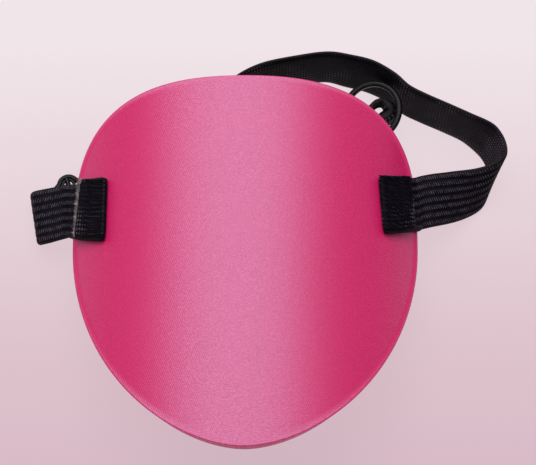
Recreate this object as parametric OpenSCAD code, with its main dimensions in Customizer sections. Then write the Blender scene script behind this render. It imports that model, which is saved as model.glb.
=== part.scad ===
// Eye patch: a domed laminated shield on two elastic straps, lying face up with its strap
// looped beside it. Millimetres, +Z out of the face, +Y to the brow, +X to the right of the
// shield as it is seen from the front. The origin is the eye centre in the plane of the rim.

/* [Shield] */
// Half of the shield's width
half_w = 39.5; // [34:0.5:42]
// Height of the brow edge above the eye centre
brow_h = 34.8; // [30:0.2:38]
// Depth of the chin edge below the eye centre
chin_h = 53.5; // [46:0.5:58]
// Squareness of the brow half of the outline
brow_n = 3.5; // [2.4:0.1:4]
// Squareness of the chin half of the outline
chin_n = 1.85; // [1.6:0.05:2.4]
// Radius that the shield is bent to about its brow-chin line
bend_r = 49.5; // [48:0.5:60]
// Thickness of the outer fabric
cover_t = 0.5; // [0.3:0.1:0.8]
// Thickness of the foam core
foam_t = 1.7; // [1.2:0.1:2.4]
// Thickness of the lining
lining_t = 0.4; // [0.3:0.1:0.6]

/* [Elastic] */
// Width of the elastic
strap_w = 13; // [12:0.5:13]
// Thickness of the elastic
strap_t = 1.1; // [0.9:0.1:1.1]
// Width of the left elastic where it is gathered on the ring
gather_w = 7; // [6:0.5:7.5]
// Width of the left elastic where it is pinched in the slider's slots
slot_w = 10.2; // [9.8:0.2:10.2]
// Height of the rim above the surface that the strap lies on
rim_lift = 6.5; // [6.5:0.1:7]
// Heading of the left elastic under the shield
under_heading = 18; // [17:0.5:19]

/* [Hardware] */
// Mean radius of the round ring
ring_r = 6.75; // [6.7:0.05:6.8]
// Half of the ring's width across its flat face
ring_half_w = 0.7; // [0.6:0.05:0.7]
// Half of the ring's thickness
ring_half_t = 0.65; // [0.55:0.05:0.7]
// Radius of the ring's rounded corners
ring_corner = 0.4; // [0.3:0.05:0.5]
// Tilt of the ring towards the left elastic
ring_tilt = 22; // [20:1:24]
// Distance from the slider's bar to each long side
slider_half = 3.7; // [3.7:0.05:3.9]
// Distance from the slider's middle to the outside of each end
slider_end = 8.9; // [8.8:0.1:9.4]
// Radius of the arch at each end of the slider
slider_arch = 2.05; // [1.9:0.05:2.3]
// Radius of the slider's bar
bar_r = 0.6; // [0.5:0.05:0.6]
// Radius of the slider's rim
rim_r = 0.65; // [0.5:0.05:0.65]

/* [Stitching] */
// Rows of thread across each sewn end
tack_rows = 15; // [8:1:20]
// Diameter of the sewing thread
thread_d = 0.34; // [0.2:0.02:0.4]

/* [Hidden] */

gap = 0.05;                                  // air between layers that only touch
slot_gap = 0.12;                             // air between the elastic and a plastic rim
bobbin_gap = 0.16;                           // air between the bobbin thread and the lining
laminate_t = cover_t + foam_t + lining_t;
inner_r = bend_r - laminate_t;
edge_cos = sqrt(1 - pow(half_w / bend_r, 2));
axis_z = -inner_r * edge_cos;                // height of the bend axis, rim at z = 0
table_z = -rim_lift;
rad = 180 / PI;

ring_centre = [29.4, 35.5, -0.6];
slider_centre = [-39.2, 12.2, table_z + 3];
layer = strap_t + gap;
wrap_r = bar_r + gap + strap_t / 2;          // strap end round the bar
hump_r = wrap_r + layer;                     // strap over the strap end
turn_r = rim_r + slot_gap + strap_t / 2;     // strap round the slider's rim
low_z = table_z + gap + strap_t / 2;         // strap lying on the surface
mid_z = low_z + layer;                       // strap lying on that one

rim_steps = 72;                              // points round the outline
rim_rings = 9;                               // rings from the centre to the outline
left_fold = 34.3;                            // arc from the middle to a sewn end's fold
right_fold = 33.45;
tab_cut = 41.4;                              // arc from the middle to a sewn end's cut edge
tab_rim = 44.8;                              // arc to where the elastic leaves the shield

// ---- small helpers ----
function unit(v) = v / norm(v);

// Radius of the outline in a direction: one superellipse for the brow, one for the chin
function outline_r(a) =
    let (n = sin(a) >= 0 ? brow_n : chin_n, h = sin(a) >= 0 ? brow_h : chin_h)
    pow(pow(abs(cos(a)) / half_w, n) + pow(abs(sin(a)) / h, n), -1 / n);

// A point in plan, put on the bent sheet at a depth below the outer face
function bent(p, depth) =
    let (a = asin(p[0] / bend_r), r = bend_r - depth)
    [r * sin(a), p[1], axis_z + r * cos(a)];

// A point on the bent sheet from its arc length across and its height over the outer face
function on_sheet(arc, y, over) =
    let (a = arc / bend_r * rad, r = bend_r + over)
    [r * sin(a), y, axis_z + r * cos(a)];

// ---- bent sheet between two depths ----
module bent_sheet(top, bottom) {
    plan = [for (k = [1 : rim_rings]) for (i = [0 : rim_steps - 1])
        let (a = 360 * i / rim_steps) outline_r(a) * k / rim_rings * [cos(a), sin(a)]];
    plan_all = concat([[0, 0]], plan);
    n = len(plan_all);
    points = concat([for (p = plan_all) bent(p, top)], [for (p = plan_all) bent(p, bottom)]);
    function at(k, i) = 1 + (k - 1) * rim_steps + (i % rim_steps);
    upper = concat(
        [for (i = [0 : rim_steps - 1]) [0, at(1, i + 1), at(1, i)]],
        [for (k = [1 : rim_rings - 1]) for (i = [0 : rim_steps - 1]) each [
            [at(k, i), at(k, i + 1), at(k + 1, i + 1)], [at(k, i), at(k + 1, i + 1), at(k + 1, i)]]]);
    lower = [for (f = upper) [f[2] + n, f[1] + n, f[0] + n]];
    wall = [for (i = [0 : rim_steps - 1]) each [
        [at(rim_rings, i), at(rim_rings, i + 1), at(rim_rings, i + 1) + n],
        [at(rim_rings, i), at(rim_rings, i + 1) + n, at(rim_rings, i) + n]]];
    polyhedron(points, concat(upper, lower, wall));
}

// ---- flat band swept through rows of [edge A, edge B, thickness] ----
module band(rows) {
    n = len(rows);
    mids = [for (r = rows) (r[0] + r[1]) / 2];
    points = [for (i = [0 : n - 1])
        let (
            along = unit(mids[min(i + 1, n - 1)] - mids[max(i - 1, 0)]),
            across = unit(rows[i][0] - rows[i][1]),
            up = unit(cross(along, across)) * rows[i][2] / 2)
        each [rows[i][0] + up, rows[i][1] + up, rows[i][1] - up, rows[i][0] - up]];
    sides = [for (i = [0 : n - 2]) for (j = [0 : 3]) let (
        a = 4 * i + j, b = 4 * i + (j + 1) % 4, c = b + 4, d = a + 4) each [[c, b, a], [d, c, a]]];
    last = 4 * (n - 1);
    ends = [[0, 1, 2], [0, 2, 3], [last + 2, last + 1, last], [last + 3, last + 2, last]];
    polyhedron(points, concat(sides, ends));
}

// Smooth curve through rows chosen by hand: [A, B, width, thickness]
function spline(a, b, c, d, t) =
    0.5 * (2 * b + (c - a) * t + (2 * a - 5 * b + 4 * c - d) * t * t
        + (3 * b - a - 3 * c + d) * t * t * t);
function smooth(rows, steps) = let (n = len(rows)) concat([for (i = [0 : n - 2])
    for (k = [0 : steps - 1]) let (
        p0 = rows[max(i - 1, 0)], p1 = rows[i], p2 = rows[i + 1], p3 = rows[min(i + 2, n - 1)])
        [for (j = [0 : 3]) spline(p0[j], p1[j], p2[j], p3[j], k / steps)]], [rows[n - 1]]);
function to_width(r) = let (m = (r[0] + r[1]) / 2, h = unit(r[0] - r[1]) * r[2] / 2)
    [m + h, m - h, r[3]];

// ---- sewn ends: cut edge on top, folded under at the inner end ----
// side is -1 for the left end and 1 for the right; y runs from the fold to the rim
function fold_arc(side) = side < 0 ? left_fold : right_fold;
function tab_row(side, arc, over, y_fold, y_rim, w_fold, w_cut, skew) =
    let (
        t = max((arc - fold_arc(side)) / (tab_rim - fold_arc(side)), 0),
        cut = (tab_cut - fold_arc(side)) / (tab_rim - fold_arc(side)),
        y = y_fold + (y_rim - y_fold) * pow(t, 1.1),
        w = t < cut ? w_fold + (w_cut - w_fold) * t / cut
            : w_cut + (strap_w - w_cut) * (t - cut) / (1 - cut),
        lean = side < 0 ? skew * (0.15 + 1.25 * t - 3.1 * max(t - cut, 0)) : skew)
    [on_sheet(side * (arc - lean * w / 2), y + w / 2, over),
        on_sheet(side * (arc + lean * w / 2), y - w / 2, over), strap_t];
bottom_over = gap + strap_t / 2;
top_over = bottom_over + layer;
function tab_rows(side, y_fold, y_rim, w_fold, w_cut, skew) = let (fold = fold_arc(side)) concat(
    [for (k = [0 : 6]) tab_row(side, tab_cut - k * (tab_cut - fold) / 6.0, top_over,
        y_fold, y_rim, w_fold, w_cut, skew)],
    [for (a = [60 : -30 : -60]) tab_row(side, fold - layer / 2 * cos(a),
        (top_over + bottom_over) / 2 + layer / 2 * sin(a), y_fold, y_rim, w_fold, w_cut, skew)],
    [for (k = [0 : 6]) tab_row(side, fold + k * (tab_rim - fold) / 6.0, bottom_over,
        y_fold, y_rim, w_fold, w_cut, skew)]);
left_tab = [-1, 6.35, 9.1, 15.4, 14.1, 0.14];
right_tab = [1, 7.2, 10.7, 13.9, 13.1, 0.09];

// ---- left elastic: sewn end, hairpin, through the slider, round the ring and back ----
along = [cos(under_heading), sin(under_heading), 0];
across = [-sin(under_heading), cos(under_heading), 0];
to_ring = ring_centre - slider_centre;
ring_side = to_ring * across;                // how far the ring lies to one side of the heading
ring_reach = to_ring * along - ring_r * cos(ring_tilt);
ring_near_z = ring_centre[2] - ring_r * sin(ring_tilt);
eye_r = 2.15;                                // strap round the ring's wire
eye_in = (ring_r - sqrt(pow(ring_r, 2) - pow(gather_w / 2, 2))) * cos(ring_tilt) + 0.2;
swerve_q = [42, 62];                         // where it moves over to the ring's middle
function swerve(q) = let (t = min(max((q - swerve_q[0]) / (swerve_q[1] - swerve_q[0]), 0), 1))
    ring_side * t * t * (3 - 2 * t);
function under(q, z, w = strap_w) =
    let (m = [slider_centre[0], slider_centre[1], z] + along * q + across * swerve(q))
    [m + across * w / 2, m - across * w / 2, strap_t];
function arc_under(q, z, r, from, to, step, w = strap_w) =
    [for (a = [from : step : to]) under(q + r * cos(a), z + r * sin(a), w)];
function lean_row(x, y, z, turn, w = strap_w) = let (h = [-sin(turn), cos(turn), 0] * w / 2)
    [[x, y, z] + h, [x, y, z] - h, strap_t];
left_run = [
    lean_row(-41.2, 10.0, 0.5, 1, 13.3), lean_row(-43.0, 9.8, -0.2, 3, 13.4),
    lean_row(-44.6, 9.6, -0.65, 5, 13.4), lean_row(-46.2, 9.4, -1.0, 7, 13.4),
    lean_row(-47.6, 9.3, -1.6, 9, 13.4), lean_row(-48.4, 9.5, -2.8, 9, 13.3),
    lean_row(-48.4, 9.7, -4.1, 9.5, 13), lean_row(-47.7, 10, -5.3, 11, 12.3),
    lean_row(-46.4, 10.1, low_z, 13, 11.4)];
slider_z = slider_centre[2];
eye_q = ring_reach + eye_in;                 // the eye clears the ring's curve at its sides
eye_z = ring_near_z + eye_in * sin(ring_tilt) / 2;
left_rows = concat(
    tab_rows(left_tab[0], left_tab[1], left_tab[2], left_tab[3], left_tab[4], left_tab[5]),
    left_run,
    [under(-5.8, low_z + 0.1, 11)],
    arc_under(-slider_half, slider_z, turn_r, 270, 345, 15, slot_w),
    arc_under(0, slider_z, hump_r, 180, 0, -15, slot_w),
    arc_under(slider_half, slider_z, turn_r, 195, 270, 15, slot_w),
    [under(6, mid_z, 12)],
    [for (q = [9 : 5 : 44]) under(q, mid_z)],
    [under(50, mid_z + 0.4, 11.5), under(56, mid_z + 1.3, 9.5), under(61, eye_z + eye_r - 0.4, gather_w)],
    arc_under(eye_q, eye_z, eye_r, 90, -90, -18, gather_w),
    [under(61, eye_z - eye_r, gather_w), under(56, low_z + 0.3, 9.5), under(50, low_z, 11.5)],
    [for (q = [44 : -5 : 9]) under(q, low_z)],
    [under(4.5, low_z, 12), under(2.2, low_z + 0.2, slot_w),
        under(1.0, slider_z - wrap_r - 0.35, slot_w)],
    arc_under(0, slider_z, wrap_r, 270, 15, -15, slot_w));

// ---- right elastic: sewn end, loop at the side, back run on its edge, into the ring ----
// Rows chosen by hand: [upper edge, lower edge, width, thickness]
right_free = [
    [[39.5, 17.7, 3.0], [39.6, 5.2, 1.8], 12.7, strap_t],
    [[42.5, 18.2, 2.8], [42.8, 6.2, 0.5], 12.4, strap_t],
    [[47, 18.6, 2.5], [47.4, 8.2, -1.9], 11.9, strap_t],
    [[52, 19.2, 2.7], [51.8, 10.9, -5], 11.8, strap_t],
    [[56, 20, 3.7], [54.5, 13.1, -6.2], 12.3, strap_t],
    [[58.6, 21, 4.8], [55.7, 15.9, -6.5], 12.8, strap_t],
    [[60, 22.5, 5.6], [56.2, 18.6, -6.5], strap_w, strap_t],
    [[60, 24.7, 6.1], [56.8, 21, -6.5], strap_w, strap_t],
    [[59, 27.3, 6.3], [56.2, 23.7, -6.5], strap_w, strap_t],
    [[56.9, 29.7, 6.3], [54.6, 26.8, -6.5], strap_w, strap_t],
    [[52, 32, 6.3], [51, 30.4, -6.5], strap_w, strap_t],
    [[47.5, 34.2, 6.3], [46.6, 32.8, -6.5], strap_w, strap_t],
    [[41.9, 36.9, 6.3], [40.9, 35.5, -6.5], strap_w, strap_t],
    [[37.9, 39.2, 6.3], [36.8, 37.7, -6.5], strap_w, strap_t],
    [[34.6, 42.4, 6.3], [33.4, 40.7, -6.5], strap_w, strap_t],
    [[29.8, 45.5, 6.2], [28.6, 43.2, -6.5], strap_w, strap_t],
    [[24.4, 47, 6.2], [23.4, 44.7, -6.5], strap_w, strap_t],
    [[19.2, 47.7, 6.3], [18.6, 45.9, -6.5], strap_w, strap_t],
    [[12.4, 46.8, 6.3], [12.6, 44.9, -6.5], strap_w, strap_t],
    [[3.8, 44.8, 6.3], [4.5, 43.2, -6.5], strap_w, strap_t],
    [[-2.3, 41.4, 6.3], [-1.4, 40, -6.5], strap_w, strap_t],
    [[-5.4, 37.2, 6.4], [-4.8, 36.8, -6.5], strap_w, strap_t],
    [[-4.8, 33.4, 6.9], [-4.6, 33.8, -6], strap_w, strap_t],
    [[-1.6, 31.6, 8.6], [-1.6, 32, -4], strap_w, strap_t],
    [[3, 31.2, 9], [3, 31.6, -3.4], 12.4, strap_t],
    [[8, 32.3, 8.4], [8, 32.7, -3], 10.6, strap_t],
    [[13.5, 32.6, 6.2], [13.5, 32.8, -1.4], 7.6, strap_t],
    [[19.5, 32.3, 5.2], [19.5, 32.3, 0.2], 5, strap_t],
    [[24.9, 32.9, 4.6], [24.9, 32.9, 0.6], 4, strap_t],
    [[28.4, 34.7, 3.4], [28.4, 34.7, 0], 3.4, strap_t],
    [[30.4, 36.9, 2.4], [30.4, 36.9, -1.2], 3.6, strap_t],
    [[32.1, 37.5, 1.6], [32.1, 37.5, -2.4], 4, 1.4],
    [[33.1, 36.3, 1], [33.1, 36.3, -3], 4, 1.8],
    [[32.8, 34.7, 0.2], [32.8, 34.7, -3.6], 3.8, 2.2],
    [[31.4, 33.2, -0.8], [31.4, 33.2, -4.2], 3.4, 2.2],
    [[29.8, 31.1, -2.2], [29.8, 31.1, -5.6], 3.4, 2.2],
    [[28.9, 28.6, -2.8], [28.9, 28.6, -6.2], 3.4, 2.2],
    [[28.4, 25.8, -2.8], [28.4, 25.8, -6.2], 3.4, 2.2]];
right_rows = concat(
    tab_rows(right_tab[0], right_tab[1], right_tab[2], right_tab[3], right_tab[4], right_tab[5]),
    [for (r = smooth(right_free, 2)) to_width(r)]);

// ---- threads laid across a sewn end, on top of it or on the lining ----
module threads(side, y_fold, y_rim, w, slant, over) {
    fold = fold_arc(side);
    reach = tab_cut - fold - 1.6;
    for (k = [0 : tack_rows - 1]) {
        f = (k + 0.5) / tack_rows - 0.5;
        y0 = y_fold + f * (w - 0.8);
        band([for (s = [0 : 3]) let (arc = fold + 0.5 + reach * s / 3,
            y = y0 + (y_rim - y_fold) * s / 3 + slant * (s / 3 - 0.5))
            [on_sheet(side * arc, y + thread_d / 2, over),
                on_sheet(side * arc, y - thread_d / 2, over), thread_d]]);
    }
}

module outer_cover() { color("deeppink") bent_sheet(0, cover_t); }
module foam_core() { color("dimgray") bent_sheet(cover_t, cover_t + foam_t); }
module lining() { color("black") bent_sheet(cover_t + foam_t, laminate_t); }
module left_strap() { color("#1c1c20") band(left_rows); }
module right_strap() { color("#1c1c20") band(right_rows); }

// Section of the round ring: a flat band with rounded corners
module ring_section() {
    flat = [ring_half_w - ring_corner, ring_half_t - ring_corner];
    square([2 * ring_half_w, 2 * flat[1]], center = true);
    square([2 * flat[0], 2 * ring_half_t], center = true);
    for (x = [-1, 1], y = [-1, 1])
        translate([x * flat[0], y * flat[1]]) circle(r = ring_corner, $fn = 32);
}

// Round ring, free to turn in the two strap ends
module ring() {
    color("#101012") translate(ring_centre) rotate([0, ring_tilt, 180 + under_heading])
        rotate_extrude($fn = 96) translate([ring_r, 0]) ring_section();
}

// Two-slot slider: an arched rim and a bar across it, with the elastic woven round the bar
module slider() {
    side = 5.6;                              // half of each straight side
    arch_y = slider_end - rim_r - slider_arch;
    spring = 22;                             // angle at which the arch begins
    knuckle_r = rim_r * 1.06;                // moulded swelling where the rim turns
    foot = [slider_arch * cos(spring), arch_y + slider_arch * sin(spring), 0];
    shoulder = [slider_half, side, 0];
    run = foot - shoulder;
    color("#101012") translate(slider_centre) rotate([0, 0, under_heading]) {
        for (x = [0, 1]) mirror([x, 0, 0]) {
            translate([slider_half, 0, 0]) rotate([90, 0, 0])
                cylinder(r = rim_r, h = 2 * side, center = true, $fn = 24);
            for (y = [0, 1]) mirror([0, y, 0]) {
                translate(shoulder) sphere(r = knuckle_r, $fn = 24);
                translate(foot) sphere(r = knuckle_r, $fn = 24);
                translate(shoulder) rotate([0, 90, atan2(run[1], run[0])])
                    cylinder(r = rim_r, h = norm(run), $fn = 24);
            }
        }
        for (y = [0, 1]) mirror([0, y, 0]) translate([0, arch_y, 0]) rotate([0, 0, spring])
            rotate_extrude(angle = 180 - 2 * spring, $fn = 48)
            translate([slider_arch, 0]) circle(r = rim_r, $fn = 24);
        rotate([90, 0, 0])
            cylinder(r = bar_r, h = 2 * (arch_y + slider_arch), center = true, $fn = 24);
    }
}

thread_over = top_over + strap_t / 2 + gap + thread_d / 2;
bobbin_over = -laminate_t - bobbin_gap - thread_d / 2;
module left_tab_stitching() { color("black") threads(-1, 6.4, 7.8, 15, 0, thread_over); }
module right_tab_stitching() { color("black") threads(1, 7.4, 9.2, 13, 1.5, thread_over); }
module left_bobbin_stitching() { color("black") threads(-1, 6.4, 7.8, 15, 0, bobbin_over); }
module right_bobbin_stitching() { color("black") threads(1, 7.4, 9.2, 13, 1.5, bobbin_over); }

outer_cover();
foam_core();
lining();
left_strap();
right_strap();
slider();
ring();
left_tab_stitching();
right_tab_stitching();
left_bobbin_stitching();
right_bobbin_stitching();
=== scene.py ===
"""Looks of the eye patch: satin shield, ribbed elastic, bar tacks and black plastic fittings."""

import math
import random

import bpy
import numpy as np
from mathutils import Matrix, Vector


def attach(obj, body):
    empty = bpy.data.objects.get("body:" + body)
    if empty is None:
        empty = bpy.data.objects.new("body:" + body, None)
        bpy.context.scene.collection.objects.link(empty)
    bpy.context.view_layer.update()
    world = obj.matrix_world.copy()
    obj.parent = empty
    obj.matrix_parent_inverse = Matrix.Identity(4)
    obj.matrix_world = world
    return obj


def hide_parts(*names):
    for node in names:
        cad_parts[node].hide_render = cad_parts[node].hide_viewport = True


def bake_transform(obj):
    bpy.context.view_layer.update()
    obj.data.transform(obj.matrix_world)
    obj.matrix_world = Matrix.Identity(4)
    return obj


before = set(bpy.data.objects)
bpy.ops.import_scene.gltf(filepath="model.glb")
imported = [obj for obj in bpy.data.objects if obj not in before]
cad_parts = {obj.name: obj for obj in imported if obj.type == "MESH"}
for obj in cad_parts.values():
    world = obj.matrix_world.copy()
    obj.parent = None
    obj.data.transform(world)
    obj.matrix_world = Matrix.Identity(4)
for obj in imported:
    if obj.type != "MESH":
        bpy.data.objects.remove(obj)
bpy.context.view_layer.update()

MM = 0.001
SHIELD, SLIDER, RING = "shield", "slider", "ring"

# ---------------------------------------------------------------- dimensions, in millimetres
HALF_W, BROW_H, CHIN_H = 39.5, 34.8, 53.5       # outline of the shield
BROW_N, CHIN_N = 3.5, 1.85                      # its two superellipse powers
BEND_R = 49.5                                   # radius it is bent to across the face
COVER_T, FOAM_T, LINING_T = 0.5, 1.7, 0.4
LAMINATE_T = COVER_T + FOAM_T + LINING_T
AXIS_Z = -(BEND_R - LAMINATE_T) * math.sqrt(1 - (HALF_W / BEND_R) ** 2)

STRAP_W, STRAP_T = 13.0, 1.1
SWERVE_FROM, SWERVE_RUN = 42.0, 20.0             # where the left elastic moves over to the ring
RIBS, RIB_H = 7, 0.15                           # cords along the elastic's outer face
GATHER_W, SLOT_W = 7.0, 10.2                    # left elastic gathered on the ring, in the slots
TABLE_Z = -6.5
GAP, SLOT_GAP = 0.05, 0.12
LAYER = STRAP_T + GAP
LOW_Z = TABLE_Z + GAP + STRAP_T / 2             # elastic lying on the table
MID_Z = LOW_Z + LAYER                           # elastic lying on elastic

HEADING = math.radians(18)                      # the left elastic's way under the shield
SLIDER_AT = np.array([-39.2, 12.2, TABLE_Z + 3])
SLIDER_HALF, SLIDER_END, BAR_R, RIM_R = 3.7, 8.9, 0.6, 0.65
SLIDER_ARCH, WEB_AT, WEB_R = 2.05, 1.35, 0.42   # its arched ends and the web inside each
WRAP_R = BAR_R + GAP + STRAP_T / 2
HUMP_R = WRAP_R + LAYER
TURN_R = RIM_R + SLOT_GAP + STRAP_T / 2

RING_AT = np.array([29.4, 35.5, -0.6])
RING_R, RING_TILT = 6.75, math.radians(22)
RING_HALF_W, RING_HALF_T = 0.7, 0.65
RING_NEAR_Z = RING_AT[2] - RING_R * math.sin(RING_TILT)

FOLD_AT = {-1: 34.3, 1: 33.45}                  # arc lengths to the folds of the sewn ends
TAB_CUT, TAB_RIM = 41.4, 44.8                   # to their cut edges, to where the elastic leaves
PRESSED_T = 0.78                                # elastic squeezed flat by the bar tack
TAB_GAP = 0.03
PRESS_FROM, PRESS_EASE = 3.2, 3.4               # from the fold to where the squeeze eases off
THREAD_R = 0.13


# ---------------------------------------------------------------- mesh helpers
def new_object(name, verts, faces, smooth=True):
    """A mesh object from points in millimetres."""
    mesh = bpy.data.meshes.new(name)
    mesh.from_pydata((np.asarray(verts) * MM).tolist(), [], [list(f) for f in faces])
    mesh.validate()
    mesh.polygons.foreach_set("use_smooth", [smooth] * len(mesh.polygons))
    mesh.update()
    obj = bpy.data.objects.new(name, mesh)
    bpy.context.scene.collection.objects.link(obj)
    return obj


def set_lay(obj, values):
    """Stores each vertex's place in the cloth, in millimetres, as the attribute 'lay'."""
    layer = obj.data.attributes.new("lay", "FLOAT_VECTOR", "POINT")
    layer.data.foreach_set("vector", np.asarray(values, dtype=np.float32).ravel())


def grid_faces(rows, cols, closed_cols=False, start=0):
    """Quads of a rows x cols grid of points."""
    span = cols if closed_cols else cols - 1
    faces = []
    for i in range(rows - 1):
        for j in range(span):
            k = (j + 1) % cols
            a, b = start + i * cols, start + (i + 1) * cols
            faces.append((a + j, a + k, b + k, b + j))
    return faces


def unit(v):
    return v / np.linalg.norm(v)


def spline(points, steps):
    """Catmull-Rom curve through rows of numbers."""
    p = np.asarray(points, dtype=float)
    out = []
    for i in range(len(p) - 1):
        a, b, c, d = p[max(i - 1, 0)], p[i], p[i + 1], p[min(i + 2, len(p) - 1)]
        for k in range(steps):
            t = k / steps
            out.append(0.5 * (2 * b + (c - a) * t + (2 * a - 5 * b + 4 * c - d) * t * t
                              + (3 * b - a - 3 * c + d) * t ** 3))
    out.append(p[-1])
    return np.array(out)


# ---------------------------------------------------------------- materials
def material(name, base, rough, specular=0.5, sheen=0.0, sheen_rough=0.5, sheen_tint=None):
    """A Principled material, its node tree and its shader."""
    mat = bpy.data.materials.new(name)
    mat.use_nodes = True
    tree = mat.node_tree
    shader = tree.nodes["Principled BSDF"]
    shader.inputs["Base Color"].default_value = (*base, 1)
    shader.inputs["Roughness"].default_value = rough
    shader.inputs["Specular IOR Level"].default_value = specular
    shader.inputs["Sheen Weight"].default_value = sheen
    shader.inputs["Sheen Roughness"].default_value = sheen_rough
    if sheen_tint:
        shader.inputs["Sheen Tint"].default_value = (*sheen_tint, 1)
    mat.diffuse_color = (*base, 1)
    return mat, tree, shader


class Nodes:
    """Short names for the nodes that the materials are built from."""

    def __init__(self, tree):
        self.tree = tree

    def add(self, kind, **inputs):
        node = self.tree.nodes.new(kind)
        for name, value in inputs.items():
            self.put(node.inputs[name.replace("_", " ")], value)
        return node

    def put(self, socket, value):
        if isinstance(value, bpy.types.NodeSocket):
            self.tree.links.new(value, socket)
        else:
            socket.default_value = value

    def lay(self):
        node = self.tree.nodes.new("ShaderNodeAttribute")
        node.attribute_name = "lay"
        return node.outputs["Vector"]

    def place(self):
        return self.tree.nodes.new("ShaderNodeTexCoord").outputs["Object"]

    def split(self, vector):
        node = self.add("ShaderNodeSeparateXYZ", Vector=vector)
        return node.outputs["X"], node.outputs["Y"], node.outputs["Z"]

    def math(self, operation, a, b=0.0, clamp=False):
        node = self.tree.nodes.new("ShaderNodeMath")
        node.operation = operation
        node.use_clamp = clamp
        self.put(node.inputs[0], a)
        self.put(node.inputs[1], b)
        return node.outputs[0]

    def scaled(self, vector, scale):
        node = self.tree.nodes.new("ShaderNodeVectorMath")
        node.operation = "MULTIPLY"
        self.put(node.inputs[0], vector)
        node.inputs[1].default_value = scale
        return node.outputs[0]

    def noise(self, vector, scale, detail=3.0, rough=0.55):
        node = self.add("ShaderNodeTexNoise", Vector=vector, Scale=scale, Detail=detail,
                        Roughness=rough)
        return node.outputs["Fac"]

    def ramp(self, fac, stops):
        node = self.tree.nodes.new("ShaderNodeValToRGB")
        self.put(node.inputs["Fac"], fac)
        ends = node.color_ramp.elements
        while len(ends) < len(stops):
            ends.new(0.5)
        for end, (at, colour) in zip(ends, stops):
            end.position = at
            end.color = colour if len(colour) == 4 else (*colour, 1)
        return node.outputs["Color"]

    def range(self, value, low, high, to_low, to_high):
        node = self.tree.nodes.new("ShaderNodeMapRange")
        for i, v in enumerate((value, low, high, to_low, to_high)):
            self.put(node.inputs[i], v)
        return node.outputs[0]

    def mix(self, fac, a, b, mode="MIX"):
        node = self.tree.nodes.new("ShaderNodeMix")
        node.data_type = "RGBA"
        node.blend_type = mode
        self.put(node.inputs["Factor"], fac)
        self.put(node.inputs[6], a)
        self.put(node.inputs[7], b)
        return node.outputs[2]

    def bump(self, height, strength, distance, normal=None):
        node = self.add("ShaderNodeBump", Height=height, Strength=strength, Distance=distance)
        if normal is not None:
            self.put(node.inputs["Normal"], normal)
        return node.outputs["Normal"]

    def wave(self, phase):
        """0 to 1 sine of a phase in radians."""
        return self.range(self.math("SINE", phase), -1, 1, 0, 1)


def satin_material():
    """Satin-faced knit: fine slanted yarns, broad sheen, and a painted highlight: a paler line along
    the cut edge.
    """
    mat, tree, shader = material("satin_pink", (0.74, 0.004, 0.125), 0.42, specular=0.95)
    shader.inputs["IOR"].default_value = 1.65
    shader.inputs["Specular Tint"].default_value = (0.26, 0.72, 1.0, 1)
    n = Nodes(tree)
    lay = n.lay()
    x, y, edge = n.split(lay)
    yarn = n.wave(n.math("MULTIPLY", n.math("ADD", x, n.math("MULTIPLY", y, 0.42)), 13.0))
    course = n.wave(n.math("MULTIPLY", n.math("SUBTRACT", y, n.math("MULTIPLY", x, 0.15)), 12.0))
    grain = n.noise(lay, 1.9, 2.0, 0.6)
    fine = n.noise(lay, 4.5, 3.0, 0.7)
    cloud = n.noise(lay, 0.06, 2.0)
    weave = n.math("MULTIPLY", n.math("ADD", yarn, course), 0.5)
    speck = n.math("ADD", n.math("MULTIPLY", weave, 0.16),
                   n.math("ADD", n.math("MULTIPLY", grain, 0.6), n.math("MULTIPLY", fine, 0.3)))
    tone = n.ramp(speck, [(0.36, (0.61, 0.001, 0.082)), (0.53, (0.74, 0.004, 0.125)),
                          (0.70, (0.88, 0.024, 0.18))])
    tone = n.mix(n.range(cloud, 0.35, 0.65, 0.0, 0.25), tone, (0.79, 0.007, 0.135, 1))
    # painted highlight: the base colour turns paler within 0.4 mm of the cut edge
    painted_edge_highlight = n.range(edge, 0.0, 0.4, 0.1, 0.0)
    n.put(shader.inputs["Base Color"], n.mix(painted_edge_highlight, tone, (0.8, 0.2, 0.36, 1)))
    n.put(shader.inputs["Roughness"], n.range(speck, 0.36, 0.7, 0.50, 0.37))
    height = n.math("ADD", weave, n.math("MULTIPLY", grain, 0.8))
    n.put(shader.inputs["Normal"], n.bump(height, 0.3, 0.00006))
    return mat


def foam_material():
    """Closed-cell foam at the cut edge."""
    mat, tree, shader = material("foam_edge", (0.05, 0.03, 0.036), 0.85, specular=0.25)
    n = Nodes(tree)
    cells = n.add("ShaderNodeTexVoronoi", Vector=n.place(), Scale=3200.0)
    pits = n.range(cells.outputs["Distance"], 0.0, 0.7, 0.0, 1.0)
    n.put(shader.inputs["Base Color"], n.ramp(pits, [(0.1, (0.02, 0.012, 0.016)),
                                                     (0.8, (0.085, 0.05, 0.06))]))
    n.put(shader.inputs["Normal"], n.bump(pits, 0.6, 0.0001))
    return mat


def lining_material():
    """Brushed knit on the eye side."""
    mat, tree, shader = material("lining_knit", (0.03, 0.03, 0.034), 0.8, specular=0.25,
                                 sheen=0.5, sheen_rough=0.45, sheen_tint=(0.5, 0.5, 0.56))
    n = Nodes(tree)
    lay = n.lay()
    x, y, _ = n.split(lay)
    loops = n.math("MULTIPLY", n.wave(n.math("MULTIPLY", x, 9.0)),
                   n.wave(n.math("MULTIPLY", y, 11.0)))
    fuzz = n.noise(lay, 2.4, 5.0, 0.7)
    height = n.math("ADD", n.math("MULTIPLY", loops, 0.7), fuzz)
    n.put(shader.inputs["Base Color"], n.ramp(height, [(0.35, (0.014, 0.014, 0.017)),
                                                       (1.1, (0.06, 0.06, 0.066))]))
    n.put(shader.inputs["Roughness"], n.range(fuzz, 0.3, 0.7, 0.72, 0.9))
    n.put(shader.inputs["Normal"], n.bump(height, 0.6, 0.0001))
    return mat


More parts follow.
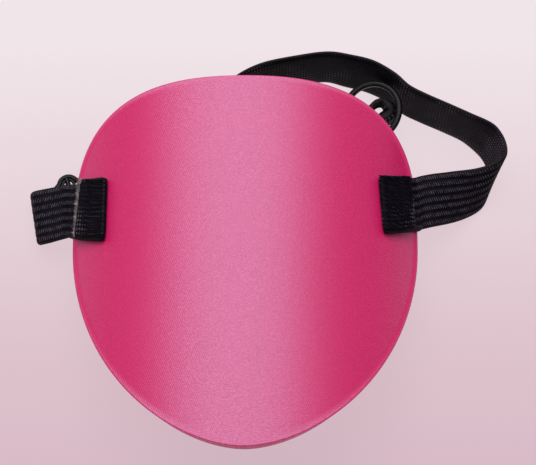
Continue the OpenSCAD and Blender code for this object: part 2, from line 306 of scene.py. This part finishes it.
def elastic_material():
    """Knitted elastic: cords along its length, slanted stitches between them, smooth back with
    painted highlights as scattered glints.
    """
    mat, tree, shader = material("black_elastic", (0.007, 0.007, 0.011), 0.62, specular=0.3)
    shader.inputs["IOR"].default_value = 1.25
    n = Nodes(tree)
    u, v, face = n.split(n.lay())
    crest = n.wave(n.math("ADD", n.math("MULTIPLY", v, 2 * math.pi * RIBS / STRAP_W),
                          math.pi / 2))
    slant = n.wave(n.math("MULTIPLY", n.math("ADD", u, n.math("MULTIPLY", v, 0.45)), 11.5))
    slant = n.range(slant, 0.4, 0.75, 0.0, 1.0)
    uneven = n.range(n.noise(n.lay(), 0.9, 3.0, 0.7), 0.3, 0.7, 0.25, 1.15)
    band = n.range(crest, 0.3, 0.65, 0.0, 1.0)
    dots = n.math("MULTIPLY", n.math("MULTIPLY", slant, band), uneven)
    weft = n.wave(n.math("MULTIPLY", u, 9.0))
    cords = n.wave(n.math("MULTIPLY", v, 4 * math.pi * RIBS / STRAP_W))
    # painted highlight: scattered glints on the back, made lighter in the base colour
    painted_glint = n.range(n.noise(n.lay(), 0.11, 2.0), 0.5, 0.68, 0.0, 1.0)
    fuzz = n.noise(n.lay(), 3.0, 4.0, 0.65)
    outer = n.math("ADD", n.math("MULTIPLY", dots, 0.9), n.math("MULTIPLY", fuzz, 0.25))
    inner = n.math("ADD", n.math("MULTIPLY", n.math("MULTIPLY", weft, cords),
                                 n.math("ADD", n.math("MULTIPLY", painted_glint, 0.8), 0.35)),
                   n.math("MULTIPLY", fuzz, 0.35))
    side = n.range(face, -0.2, 0.2, 0.0, 1.0)
    height = n.math("ADD", n.math("MULTIPLY", outer, side),
                    n.math("MULTIPLY", inner, n.math("SUBTRACT", 1.0, side)))
    dark = n.ramp(height, [(0.15, (0.0015, 0.0012, 0.004)), (0.4, (0.0035, 0.0027, 0.007)),
                           (0.95, (0.10, 0.084, 0.112))])
    brown = n.noise(n.lay(), 0.35, 2.0)
    dark = n.mix(n.range(brown, 0.45, 0.7, 0.0, 0.35), dark, (0.010, 0.0075, 0.013, 1))
    selvedge = n.range(n.math("ABSOLUTE", v), 6.1, 6.5, 0.0, 0.5)
    n.put(shader.inputs["Base Color"], n.mix(selvedge, dark, (0.05, 0.043, 0.036, 1)))
    n.put(shader.inputs["Roughness"], n.range(fuzz, 0.3, 0.7, 0.52, 0.74))
    n.put(shader.inputs["Normal"], n.bump(height, 0.7, 0.00012))
    return mat


def thread_material():
    """Twisted polyester thread."""
    mat, tree, shader = material("black_thread", (0.002, 0.002, 0.005), 0.6, specular=0.04)
    n = Nodes(tree)
    u, v, _ = n.split(n.lay())
    twist = n.wave(n.math("ADD", n.math("MULTIPLY", u, 14.0), v))
    n.put(shader.inputs["Base Color"], n.ramp(twist, [(0.2, (0.001, 0.001, 0.0025)),
                                                      (0.9, (0.0065, 0.006, 0.011))]))
    n.put(shader.inputs["Roughness"], n.range(twist, 0, 1, 0.66, 0.54))
    n.put(shader.inputs["Normal"], n.bump(twist, 0.5, 0.00005))
    return mat


def fibre_material():
    """Cut ends of the elastic's covered rubber cores."""
    mat, tree, shader = material("cut_fibre", (0.36, 0.33, 0.31), 0.7, specular=0.3,
                                 sheen=0.3)
    n = Nodes(tree)
    tint = n.noise(n.place(), 900.0, 3.0, 0.7)
    n.put(shader.inputs["Base Color"], n.ramp(tint, [(0.3, (0.05, 0.04, 0.042)),
                                                     (0.5, (0.20, 0.17, 0.16)),
                                                     (0.7, (0.46, 0.43, 0.40))]))
    n.put(shader.inputs["Roughness"], n.range(tint, 0.3, 0.7, 0.6, 0.85))
    return mat


def plastic_material():
    """Glossy black nylon with fine moulding marks and a few handling scuffs."""
    mat, tree, shader = material("black_nylon", (0.006, 0.006, 0.007), 0.24, specular=0.15)
    n = Nodes(tree)
    place = n.place()
    scuff = n.noise(n.scaled(place, (1.0, 1.0, 2.5)), 900.0, 5.0, 0.7)
    soft = n.noise(place, 220.0, 2.0)
    n.put(shader.inputs["Base Color"], n.ramp(scuff, [(0.35, (0.004, 0.004, 0.005)),
                                                      (0.75, (0.014, 0.013, 0.013))]))
    n.put(shader.inputs["Roughness"], n.range(scuff, 0.3, 0.8, 0.2, 0.32))
    n.put(shader.inputs["Normal"], n.bump(soft, 0.12, 0.0002))
    return mat


# ---------------------------------------------------------------- shield
def outline_r(a):
    """Radius of the outline in a direction."""
    n, h = (BROW_N, BROW_H) if math.sin(a) >= 0 else (CHIN_N, CHIN_H)
    return ((abs(math.cos(a)) / HALF_W) ** n + (abs(math.sin(a)) / h) ** n) ** (-1 / n)


def on_sheet(arc, y, over):
    """A point on the bent sheet from its arc length across and its height over the face."""
    a = arc / BEND_R
    r = BEND_R + over
    return np.array([r * math.sin(a), y, AXIS_Z + r * math.cos(a)])


def bent(x, y, depth):
    return on_sheet(BEND_R * math.asin(max(-1, min(1, x / BEND_R))), y, -depth)


def rounded(away, reach, drop):
    """How far the face falls near the rim: a quarter ellipse."""
    t = min(away / reach, 1.0)
    return drop * (1 - math.sqrt(max(0.0, 1 - (1 - t) ** 2)))


def bent_layer(name, top, bottom, inset, top_drop, bottom_drop, reach=1.5, steps=288, rings=48):
    """One layer of the laminate, closed; near the rim its faces fall by the drops given."""
    near = [reach * 1.6 * (k / 14) ** 1.3 for k in range(14)]
    angles = [2 * math.pi * j / steps for j in range(steps)]
    radii = [outline_r(a) - inset for a in angles]

    def fraction(i, r):
        """Rings crowd together near the rim."""
        if i < rings - 14:
            return (1 - near[-1] / r) * (i + 1) / (rings - 14)
        return 1 - near[rings - 1 - i] / r

    def sheet(depth, drop):
        points, lays = [], []
        for i in range(rings):
            for a, r in zip(angles, radii):
                f = fraction(i, r)
                away = (1 - f) * r
                x, y = f * r * math.cos(a), f * r * math.sin(a)
                points.append(bent(x, y, depth + rounded(away, reach, drop)))
                lays.append((BEND_R * math.asin(x / BEND_R), y, away))
        return points, lays

    up, up_lay = sheet(top, top_drop)
    low, low_lay = sheet(bottom, bottom_drop)
    verts = up + low + [bent(0, 0, top), bent(0, 0, bottom)]
    lays = up_lay + low_lay + [(0, 0, BROW_H), (0, 0, BROW_H)]
    count = rings * steps
    faces = grid_faces(rings, steps, True)
    for j in range(steps):
        k = (j + 1) % steps
        faces.append((count - steps + j, count - steps + k, 2 * count - steps + k,
                      2 * count - steps + j))
        faces.append((len(verts) - 2, k, j))
        faces.append((len(verts) - 1, count + j, count + k))
    faces += [tuple(reversed(f)) for f in grid_faces(rings, steps, True, count)]
    obj = new_object(name, verts, [tuple(reversed(f)) for f in faces])
    set_lay(obj, lays)
    return obj


# ---------------------------------------------------------------- elastic
def ribbed_section(count=70):
    """Closed outline of the elastic: (place across -0.5..0.5, height, face)."""
    section = []
    for i in range(count + 1):
        v = -0.5 + i / count
        edge = 1 - abs(2 * v) ** 18
        rib = abs(math.cos(math.pi * RIBS * v)) ** 0.3
        section.append((v, (0.5 * edge, -RIB_H * (1 - rib)), 1.0))
    for i in range(1, 16):
        v = 0.5 - i / 16
        edge = 1 - abs(2 * v) ** 14
        section.append((v, (-0.5 * edge, 0.0), -1.0))
    return section


def elastic_band(name, rows, ribs_up=1):
    """Elastic swept through rows (upper edge, lower edge, thickness), ribbed on one face."""
    rows = np.asarray([np.concatenate([a, b, [t]]) for a, b, t in rows])
    a, b, thick = rows[:, 0:3], rows[:, 3:6], rows[:, 6]
    mids = (a + b) / 2
    section = ribbed_section()
    verts, lays = [], []
    run = 0.0
    last = len(rows) - 1
    for i in range(len(rows)):
        if i:
            run += np.linalg.norm(mids[i] - mids[i - 1])
        along = unit(mids[min(i + 1, last)] - mids[max(i - 1, 0)])
        width = np.linalg.norm(a[i] - b[i])
        across = unit(a[i] - b[i])
        up = unit(np.cross(along, across)) * ribs_up
        for v, (part, rib), face in section:
            p = mids[i] + across * v * width + up * (part * thick[i] + rib)
            verts.append((p[0], p[1], max(p[2], TABLE_Z + 0.02)))
            lays.append((run, v * STRAP_W, face))
    cols = len(section)
    faces = grid_faces(len(rows), cols, True)
    faces.append(tuple(range(cols - 1, -1, -1)))
    faces.append(tuple(last * cols + j for j in range(cols)))
    if ribs_up > 0:
        faces = [tuple(reversed(f)) for f in faces]
    obj = new_object(name, verts, faces)
    for face in obj.data.polygons[-2:]:
        face.use_smooth = False
    set_lay(obj, lays)
    return obj


def pressed(side, arc):
    """Thickness of one layer of a sewn end: squeezed by the tack near its fold."""
    t = min(max((arc - FOLD_AT[side] - PRESS_FROM) / PRESS_EASE, 0), 1)
    return PRESSED_T + (STRAP_T - PRESSED_T) * t * t * (3 - 2 * t)


class SewnEnd:
    """A strap end on the shield: which side, where its middle lies, its width and its lean."""

    RISE = 1.1                                  # power by which its middle line climbs
    LEAN, LEAN_GROWS, LEAN_FADES = 0.15, 1.25, 3.1      # share of the skew along the left end
    CORNER, CORNER_PULL = 0.5, 0.9              # rounding of its corners at the fold

    def __init__(self, side, y_fold, y_rim, w_fold, w_cut, skew):
        self.side, self.y_fold, self.y_rim = side, y_fold, y_rim
        self.w_fold, self.w_cut, self.skew = w_fold, w_cut, skew
        self.cut = self.part(TAB_CUT)

    def part(self, arc):
        fold = FOLD_AT[self.side]
        return max((arc - fold) / (TAB_RIM - fold), 0)

    def width(self, arc):
        t = self.part(arc)
        if t < self.cut:
            return self.w_fold + (self.w_cut - self.w_fold) * t / self.cut
        return self.w_cut + (STRAP_W - self.w_cut) * (t - self.cut) / (1 - self.cut)

    def point(self, arc, v, over):
        """The place at a distance v above the middle line."""
        t = self.part(arc)
        y = self.y_fold + (self.y_rim - self.y_fold) * t ** self.RISE
        lean = self.skew
        if self.side < 0:
            lean *= self.LEAN + self.LEAN_GROWS * t - self.LEAN_FADES * max(t - self.cut, 0)
        return on_sheet(self.side * (arc - lean * v), y + v, over)

    def row(self, arc, over, thick):
        """One row of the band; its corners are rounded off near the fold."""
        near = max(FOLD_AT[self.side] + self.CORNER - arc, 0)
        w = self.width(arc) - self.CORNER_PULL * near ** 2
        return (self.point(arc, w / 2, over), self.point(arc, -w / 2, over), thick)

    def top(self, arc):
        """Height of the upper surface over the cover, round the fold as well."""
        fold = FOLD_AT[self.side]
        t = pressed(self.side, max(arc, fold))
        middle, reach = GAP + t + TAB_GAP / 2, t + TAB_GAP / 2
        if arc >= fold:
            return middle + reach
        return middle + math.sqrt(max(reach ** 2 - (fold - arc) ** 2, 0.01))

    def rows(self):
        """Cut edge on top, folded under at the inner end, out over the rim."""
        fold = FOLD_AT[self.side]
        rows = []
        for k in range(25):
            arc = TAB_CUT - k * (TAB_CUT - fold) / 24
            t = pressed(self.side, arc)
            rows.append(self.row(arc, GAP + 1.5 * t + TAB_GAP, t))
        t = pressed(self.side, fold)
        half = (t + TAB_GAP) / 2
        for angle in range(75, -90, -15):
            a = math.radians(angle)
            rows.append(self.row(fold - half * math.cos(a),
                                 GAP + t + TAB_GAP / 2 + half * math.sin(a), t))
        for k in range(15):
            arc = fold + k * (TAB_RIM - fold) / 14
            t = pressed(self.side, arc)
            rows.append(self.row(arc, GAP + t / 2, t))
        return rows


LEFT_TAB = SewnEnd(-1, 6.35, 9.1, 15.4, 14.1, 0.14)
RIGHT_TAB = SewnEnd(1, 7.2, 10.7, 13.9, 13.1, 0.09)

ALONG = np.array([math.cos(HEADING), math.sin(HEADING), 0])
ACROSS = np.array([-math.sin(HEADING), math.cos(HEADING), 0])

TO_RING = RING_AT - SLIDER_AT
RING_SIDE = TO_RING @ ACROSS                    # how far the ring lies to one side of the heading
EYE_R = 2.15                                    # elastic round the ring's wire
EYE_IN = (RING_R - math.sqrt(RING_R ** 2 - (GATHER_W / 2) ** 2)) * math.cos(RING_TILT) + 0.2
EYE_Q = TO_RING @ ALONG - RING_R * math.cos(RING_TILT) + EYE_IN
EYE_Z = RING_NEAR_Z + EYE_IN * math.sin(RING_TILT) / 2


def under(q, z, w=STRAP_W):
    """A row of the left elastic, at a distance from the slider's bar and a height."""
    t = min(max((q - SWERVE_FROM) / SWERVE_RUN, 0), 1)
    m = np.array([SLIDER_AT[0], SLIDER_AT[1], z]) + ALONG * q \
        + ACROSS * RING_SIDE * t * t * (3 - 2 * t)
    return (m + ACROSS * w / 2, m - ACROSS * w / 2, STRAP_T)


def arc_under(q, z, r, start, end, step, w=STRAP_W):
    count = round((end - start) / step)
    angles = [math.radians(start + step * k) for k in range(count + 1)]
    return [under(q + r * math.cos(a), z + r * math.sin(a), w) for a in angles]


def lean_row(x, y, z, turn, w=STRAP_W):
    h = np.array([-math.sin(math.radians(turn)), math.cos(math.radians(turn)), 0]) * w / 2
    m = np.array([x, y, z])
    return (m + h, m - h, STRAP_T)


HAIRPIN = [(-41.2, 10.0, 0.5, 1, 13.3), (-43.0, 9.8, -0.2, 3, 13.4), (-44.6, 9.6, -0.65, 5, 13.4),
           (-46.2, 9.4, -1.0, 7, 13.4), (-47.6, 9.3, -1.6, 9, 13.4), (-48.4, 9.5, -2.8, 9, 13.3),
           (-48.4, 9.7, -4.1, 9.5, 13), (-47.7, 10, -5.3, 11, 12.3), (-46.4, 10.1, LOW_Z, 13, 11.4)]


def dense(rows, steps=4):
    """Rows of a band, made finer by a smooth curve through them."""
    flat = [np.concatenate([a, b, [t]]) for a, b, t in rows]
    return [(r[0:3], r[3:6], r[6]) for r in spline(flat, steps)]


def left_fixed_rows():
    """Sewn end, hairpin, lower layer, round the ring and the start of the upper layer."""
    bend = [lean_row(*row) for row in HAIRPIN]
    lower = [under(q, LOW_Z, w) for q, w in ((-5.5, 11), (-2, 11.2), (2, 11.6), (6, 12.2),
                                             (12, STRAP_W), (20, STRAP_W), (28, STRAP_W),
                                             (36, STRAP_W), (44, STRAP_W))]
    eye = [under(50, LOW_Z, 11.5), under(56, LOW_Z + 0.3, 9.5), under(61, EYE_Z - EYE_R, GATHER_W)]
    eye += arc_under(EYE_Q, EYE_Z, EYE_R, -90, 90, 18, GATHER_W)
    eye += [under(61, EYE_Z + EYE_R - 0.4, GATHER_W), under(56, MID_Z + 1.3, 9.5),
            under(50, MID_Z + 0.4, 11.5), under(46, MID_Z, 12.6)]
    tab = LEFT_TAB.rows()
    return tab[:-1] + dense([tab[-1]] + bend + lower + eye)


def left_threaded_rows():
    """Upper layer from the ring's end back to the slider and over its bar."""
    z = SLIDER_AT[2]
    rows = [under(q, MID_Z, STRAP_W - (0.3 if q > 45 else 0)) for q in np.linspace(46.2, 9, 32)]
    rows += dense([rows[-1], under(7.5, MID_Z, 12.6), under(6, MID_Z, 12),
                   under(SLIDER_HALF + 1, MID_Z, 11.2)], 3)[1:]
    rows += arc_under(SLIDER_HALF, z, TURN_R, 270, 195, -7.5, SLOT_W)
    rows += arc_under(0, z, HUMP_R, 0, 180, 7.5, SLOT_W)
    rows += arc_under(-SLIDER_HALF, z, TURN_R, 345, 270, -7.5, SLOT_W)
    return rows + [under(-4.8, MID_Z, SLOT_W)]


def left_end_rows():
    """The elastic's own end, sewn round the slider's bar."""
    z = SLIDER_AT[2]
    return [under(1.7, z - WRAP_R - 0.1, SLOT_W), under(0.8, z - WRAP_R - 0.05, SLOT_W)] \
        + arc_under(0, z, WRAP_R, 270, 15, -7.5, SLOT_W)


# Upper edge, lower edge, width and thickness of the right elastic from the rim to the ring
RIGHT_FREE = [
    ((40.6, 17.7, 2.9), (40.7, 5.2, 1.4), 12.8, STRAP_T),
    ((43.2, 18.2, 2.7), (43.5, 6.4, 0.2), 12.4, STRAP_T),
    ((47, 18.6, 2.5), (47.4, 8.2, -1.9), 11.9, STRAP_T),
    ((52, 19.2, 2.7), (51.8, 10.9, -5), 11.8, STRAP_T),
    ((56, 20, 3.7), (54.5, 13.1, -6.2), 12.3, STRAP_T),
    ((58.6, 21, 4.8), (55.7, 15.9, -6.5), 12.8, STRAP_T),
    ((60, 22.5, 5.6), (56.2, 18.6, -6.5), STRAP_W, STRAP_T),
    ((60, 24.7, 6.1), (56.8, 21, -6.5), STRAP_W, STRAP_T),
    ((59, 27.3, 6.3), (56.2, 23.7, -6.5), STRAP_W, STRAP_T),
    ((56.9, 29.7, 6.3), (54.6, 26.8, -6.5), STRAP_W, STRAP_T),
    ((52, 32, 6.3), (51, 30.4, -6.5), STRAP_W, STRAP_T),
    ((47.5, 34.2, 6.3), (46.6, 32.8, -6.5), STRAP_W, STRAP_T),
    ((41.9, 36.9, 6.3), (40.9, 35.5, -6.5), STRAP_W, STRAP_T),
    ((37.9, 39.2, 6.3), (36.8, 37.7, -6.5), STRAP_W, STRAP_T),
    ((34.6, 42.4, 6.3), (33.4, 40.7, -6.5), STRAP_W, STRAP_T),
    ((29.8, 45.5, 6.2), (28.6, 43.2, -6.5), STRAP_W, STRAP_T),
    ((24.4, 47, 6.2), (23.4, 44.7, -6.5), STRAP_W, STRAP_T),
    ((19.2, 47.7, 6.3), (18.6, 45.9, -6.5), STRAP_W, STRAP_T),
    ((12.4, 46.8, 6.3), (12.6, 44.9, -6.5), STRAP_W, STRAP_T),
    ((3.8, 44.8, 6.3), (4.5, 43.2, -6.5), STRAP_W, STRAP_T),
    ((-2.3, 41.4, 6.3), (-1.4, 40, -6.5), STRAP_W, STRAP_T),
    ((-5.4, 37.2, 6.4), (-4.8, 36.8, -6.5), STRAP_W, STRAP_T),
    ((-4.8, 33.4, 6.9), (-4.6, 33.8, -6), STRAP_W, STRAP_T),
    ((-1.6, 31.6, 8.6), (-1.6, 32, -4), STRAP_W, STRAP_T),
    ((3, 31.2, 9), (3, 31.6, -3.4), 12.4, STRAP_T),
    ((8, 32.3, 8.4), (8, 32.7, -3), 10.6, STRAP_T),
    ((13.5, 32.6, 6.2), (13.5, 32.8, -1.4), 7.6, STRAP_T),
    ((19.5, 32.3, 5.2), (19.5, 32.3, 0.2), 5, STRAP_T),
    ((24.9, 32.9, 4.6), (24.9, 32.9, 0.6), 4, STRAP_T),
    ((28.4, 34.7, 3.4), (28.4, 34.7, 0), 3.4, STRAP_T),
    ((30.4, 36.9, 2.4), (30.4, 36.9, -1.2), 3.6, STRAP_T),
    ((32.1, 37.5, 1.6), (32.1, 37.5, -2.4), 4, 1.4),
    ((33.6, 36.1, 1), (33.6, 36.1, -3), 4, 3.0),
    ((33.3, 34.8, 0.2), (33.3, 34.8, -3.6), 3.8, 3.2),
    ((31.0, 33.5, -0.8), (31.0, 33.5, -4.2), 3.4, 2.6),
    ((28.9, 31.5, -2.2), (28.9, 31.5, -5.6), 3.4, 2.2),
    ((28.4, 28.8, -2.8), (28.4, 28.8, -6.2), 3.4, 2.2),
    ((28.4, 25.8, -2.8), (28.4, 25.8, -6.2), 3.4, 2.2)]


def right_rows():
    """Sewn end, side loop, back run on its edge, and the gathered end in the ring."""
    rows = []
    for r in spline([[*a, *b, w, t] for a, b, w, t in RIGHT_FREE], 9):
        a, b = r[0:3], r[3:6]
        m, h = (a + b) / 2, unit(a - b) * r[6] / 2
        rows.append((m + h, m - h, r[7]))
    tab = RIGHT_TAB.rows()
    return tab[:-1] + dense([tab[-1], rows[0]], 4)[:-1] + rows


# ---------------------------------------------------------------- threads and fibres
def tube(points, radius, sides=6, taper=None):
    """Points and faces of a round thread along points."""
    points = np.asarray(points, dtype=float)
    verts, lays = [], []
    run = 0.0
    for i, p in enumerate(points):
        if i:
            run += np.linalg.norm(p - points[i - 1])
        along = unit(points[min(i + 1, len(points) - 1)] - points[max(i - 1, 0)])
        helper = np.array([0, 0, 1.0]) if abs(along[2]) < 0.9 else np.array([1.0, 0, 0])
        x = unit(np.cross(along, helper))
        y = np.cross(along, x)
        r = radius * (taper[i] if taper is not None else 1)
        for k in range(sides):
            a = 2 * math.pi * k / sides
            verts.append(p + r * (x * math.cos(a) + y * math.sin(a)))
            lays.append((run, a, 0))
    faces = grid_faces(len(points), sides, True)
    faces.append(tuple(range(sides)))
    faces.append(tuple((len(points) - 1) * sides + k for k in range(sides - 1, -1, -1)))
    return verts, faces, lays


def joined(name, tubes):
    """One object from many tubes."""
    verts, faces, lays = [], [], []
    for v, f, l in tubes:
        start = len(verts)
        verts += list(v)
        lays += l
        faces += [tuple(start + i for i in face) for face in f]
    obj = new_object(name, verts, faces)
    set_lay(obj, lays)
    return obj


def stitch_column(end, start, length, pitch, slant, seed, reach=0.96, lining=False):
    """A column of short stitches across a sewn end, each arching up and dipping in again."""
    rng = random.Random(seed)
    fold = FOLD_AT[end.side]
    tubes = []
    middle = fold + start + length / 2
    half = end.width(max(middle, fold)) / 2 * reach
    count = int(2 * half / pitch)
    for k in range(count):
        v = -half + (k + 0.5) * 2 * half / count + rng.uniform(-0.14, 0.14)
        a = fold + start + rng.uniform(-0.3, 0.3)
        b = a + length * rng.uniform(0.8, 1.08)
        tilt = slant + rng.uniform(-0.22, 0.22)
        bow = rng.uniform(-0.12, 0.12)
        high = rng.uniform(0.06, 0.14)
        points = []
        for i in range(9):
            t = i / 8
            lift = high * math.sin(math.pi * t) ** 0.6 - 0.08
            arc = a + (b - a) * t
            level = -LAMINATE_T - lift if lining else end.top(arc) + lift
            points.append(end.point(arc, v + tilt * (t - 0.5) + bow * math.sin(math.pi * t),
                                    level))
        tubes.append(tube(points, THREAD_R))
    return tubes


def cut_fibres(end, low, high, count, length, seed, skew=1.0):
    """Fine pale ends of yarn and rubber along a sewn end's cut edge."""
    rng = random.Random(seed)
    tubes = []
    for _ in range(count):
        v = low + (high - low) * rng.random() ** skew
        level = GAP + STRAP_T + TAB_GAP + rng.uniform(0.15, 1.0) * STRAP_T
        start = end.point(TAB_CUT - rng.uniform(0.0, 0.35), v, level)
        out = unit(end.point(TAB_CUT + 1, v, level) - end.point(TAB_CUT, v, level))
        up = unit(end.point(TAB_CUT, v, level + 1) - end.point(TAB_CUT, v, level))
        way = unit(out * rng.uniform(0.4, 1) + up * rng.uniform(-0.2, 0.75)
                   + np.array([0, rng.uniform(-0.7, 0.7), 0]))
        curl = unit(np.cross(way, up)) * rng.uniform(-0.3, 0.3)
        reach = length * rng.uniform(0.45, 1.0) * (0.6 + 0.5 * (v - low) / (high - low))
        points = [start + way * reach * t + curl * reach * t * t for t in (0, 0.35, 0.7, 1)]
        tubes.append(tube(points, rng.uniform(0.045, 0.09), 5, (1, 0.95, 0.8, 0.5)))
    return tubes


# ---------------------------------------------------------------- fittings
def ring_mesh():
    """Moulded ring: flat-sided section with rounded edges and a fine parting line."""
    section = []
    for k in range(28):
        a = 2 * math.pi * k / 28
        c, s = math.cos(a), math.sin(a)
        x = math.copysign(abs(c) ** 0.62, c) * RING_HALF_W
        y = math.copysign(abs(s) ** 0.62, s) * RING_HALF_T
        line = 0.04 if abs(s) < 0.12 and c > 0 else 0.0
        section.append((x + line, y))
    steps = 120
    verts = []
    cos_t, sin_t = math.cos(RING_TILT), math.sin(RING_TILT)
    turn = math.pi + HEADING
    for i in range(steps):
        a = 2 * math.pi * i / steps
        for x, y in section:
            r = RING_R + x
            p = np.array([r * math.cos(a), r * math.sin(a), y])
            p = np.array([p[0] * cos_t + p[2] * sin_t, p[1], -p[0] * sin_t + p[2] * cos_t])
            p = np.array([p[0] * math.cos(turn) - p[1] * math.sin(turn),
                          p[0] * math.sin(turn) + p[1] * math.cos(turn), p[2]])
            verts.append(p + RING_AT)
    cols = len(section)
    faces = []
    for i in range(steps):
        for j in range(cols):
            k, m = (j + 1) % cols, (i + 1) % steps
            faces.append((i * cols + j, m * cols + j, m * cols + k, i * cols + k))
    return new_object("ring_moulding", verts, faces)


def slider_webs():
    """A thin web along the inside of each arched end of the slider."""
    webs = []
    past = 0.1                                  # radians by which a web runs on past the arch
    for way in (-1, 1):
        top = SLIDER_AT + ACROSS * way * (SLIDER_END - RIM_R - SLIDER_ARCH)
        points = [top + WEB_AT * (ALONG * math.cos(a) + ACROSS * way * math.sin(a))
                  for a in np.linspace(-past, math.pi + past, 25)]
        webs.append(tube(points, WEB_R, 12))
    return joined("slider_webs", webs)


# ---------------------------------------------------------------- build
satin, foam, lining = satin_material(), foam_material(), lining_material()
elastic, thread = elastic_material(), thread_material()
fibre, nylon = fibre_material(), plastic_material()


def dress(obj, mat, slot, body, *nodes):
    """Gives a piece its material and body and hides the CAD nodes it stands for; the record slot
    argument is not used.
    """
    obj.data.materials.append(mat)
    if body:
        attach(obj, body)
    if nodes:
        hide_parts(*nodes)
    return obj


lining_top = COVER_T + FOAM_T
cover_piece = dress(bent_layer("shield_cover", 0, COVER_T, 0, 0.12, 1.75, 0.25),
                    satin, "satin_cover", SHIELD, "outer_cover")
foam_piece = dress(bent_layer("shield_foam", COVER_T, lining_top, 0.25, 1.4, 0, 0.3),
                   foam, "foam", SHIELD, "foam_core")
lining_piece = dress(bent_layer("shield_lining", lining_top, LAMINATE_T, 0.1, 0, 0),
                     lining, "lining_fabric", SHIELD, "lining")

dress(elastic_band("left_elastic", left_fixed_rows(), -1), elastic, "elastic", SHIELD,
      "left_strap")
threaded = dress(elastic_band("left_elastic_threaded", left_threaded_rows(), -1), elastic,
                 "elastic", None)
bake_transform(threaded)
dress(elastic_band("left_elastic_end", left_end_rows(), -1), elastic, "elastic", SLIDER)
dress(elastic_band("right_elastic", right_rows(), 1), elastic, "elastic", SHIELD, "right_strap")

left_stitches = stitch_column(LEFT_TAB, start=-0.75, length=4.3, pitch=0.56, slant=0.1, seed=3) \
    + stitch_column(LEFT_TAB, start=3.0, length=2.4, pitch=0.6, slant=0.5, seed=4)
dress(joined("left_tack_thread", left_stitches), thread, "thread", SHIELD, "left_tab_stitching")
right_stitches = []
for k in range(4):
    right_stitches += stitch_column(RIGHT_TAB, start=-0.7 + 2.0 * k, length=2.3, pitch=0.52,
                                    slant=-0.75, seed=20 + k)
dress(joined("right_tack_thread", right_stitches), thread, "thread", SHIELD,
      "right_tab_stitching")
left_bobbin = stitch_column(LEFT_TAB, start=0.3, length=4.6, pitch=0.7, slant=0.3, seed=7,
                            lining=True)
dress(joined("left_tack_bobbin", left_bobbin), thread, "thread", SHIELD, "left_bobbin_stitching")
right_bobbin = stitch_column(RIGHT_TAB, start=0.3, length=6.2, pitch=0.7, slant=0.5, seed=9,
                             lining=True)
dress(joined("right_tack_bobbin", right_bobbin), thread, "thread", SHIELD,
      "right_bobbin_stitching")
left_ends = cut_fibres(LEFT_TAB, low=-6.7, high=6.9, count=1300, length=1.15, seed=11, skew=0.8)
dress(joined("left_cut_fibres", left_ends), fibre, "thread", SHIELD)
right_ends = cut_fibres(RIGHT_TAB, low=-2.5, high=1.0, count=110, length=0.4, seed=13)
dress(joined("right_cut_fibres", right_ends), fibre, "thread", SHIELD)

dress(ring_mesh(), nylon, "black_plastic", RING, "ring")
slider_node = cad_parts["slider"]
slider_node.data.materials.clear()
slider_node.data.materials.append(nylon)
dress(slider_webs(), nylon, "black_plastic", SLIDER)


# ---------------------------------------------------------------- floor, light and camera
def floor():
    """Pale sweep, a little pinker towards the front."""
    size, albedo_cut, glow = 1.6, 0.9, 0.892    # most of its light is its own, so shadows stay faint
    verts = np.array([(-size, -size, TABLE_Z * MM), (size, -size, TABLE_Z * MM),
                      (size, size, TABLE_Z * MM), (-size, size, TABLE_Z * MM)]) / MM
    obj = new_object("floor", verts, [(0, 1, 2, 3)], False)
    mat, tree, shader = material("pale_floor", (0.8, 0.7, 0.74), 0.9, specular=0.1)
    n = Nodes(tree)
    _, y, _ = n.split(n.place())
    tone = n.ramp(n.range(y, -0.057, 0.055, 0.0, 1.0),
                  [(0.0, (0.686, 0.49, 0.565)), (0.37, (0.745, 0.565, 0.623)),
                   (1.0, (0.88, 0.79, 0.82))])
    n.put(shader.inputs["Base Color"], n.mix(albedo_cut, tone, (0, 0, 0, 1)))
    n.put(shader.inputs["Emission Color"], tone)
    shader.inputs["Emission Strength"].default_value = glow
    obj.data.materials.append(mat)


def area_light(name, place, aim, size, power):
    light = bpy.data.lights.new(name, "AREA")
    light.shape = "RECTANGLE"
    light.size, light.size_y = size
    light.energy = power
    obj = bpy.data.objects.new(name, light)
    obj.location = place
    obj.rotation_euler = (Vector(aim) - Vector(place)).to_track_quat("-Z", "Y").to_euler()
    bpy.context.scene.collection.objects.link(obj)


def camera():
    """The photograph's view: from the chin side, well above the shield, from some way off."""
    elevation, distance, lens = math.radians(68), 0.7, 208
    target = Vector((5.2, 0.8, 10.0)) * MM
    cam = bpy.data.cameras.new("camera")
    cam.lens = lens
    cam.sensor_width = 36
    cam.clip_start = 0.01
    obj = bpy.data.objects.new("camera", cam)
    back = Vector((0, -math.cos(elevation), math.sin(elevation)))
    obj.location = target + back * distance
    obj.rotation_euler = (-back).to_track_quat("-Z", "Y").to_euler()
    bpy.context.scene.collection.objects.link(obj)
    bpy.context.scene.camera = obj


floor()
area_light("key", (-0.065, 0.30, 0.74), (0, 0, 0), (0.98, 0.7), 7.2)
world = bpy.data.worlds.new("world")
bpy.context.scene.world = world
bpy.context.scene.view_settings.view_transform = "Standard"
world.use_nodes = True
world.node_tree.nodes["Background"].inputs["Color"].default_value = (1, 0.78, 0.92, 1)
world.node_tree.nodes["Background"].inputs["Strength"].default_value = 0.2
camera()
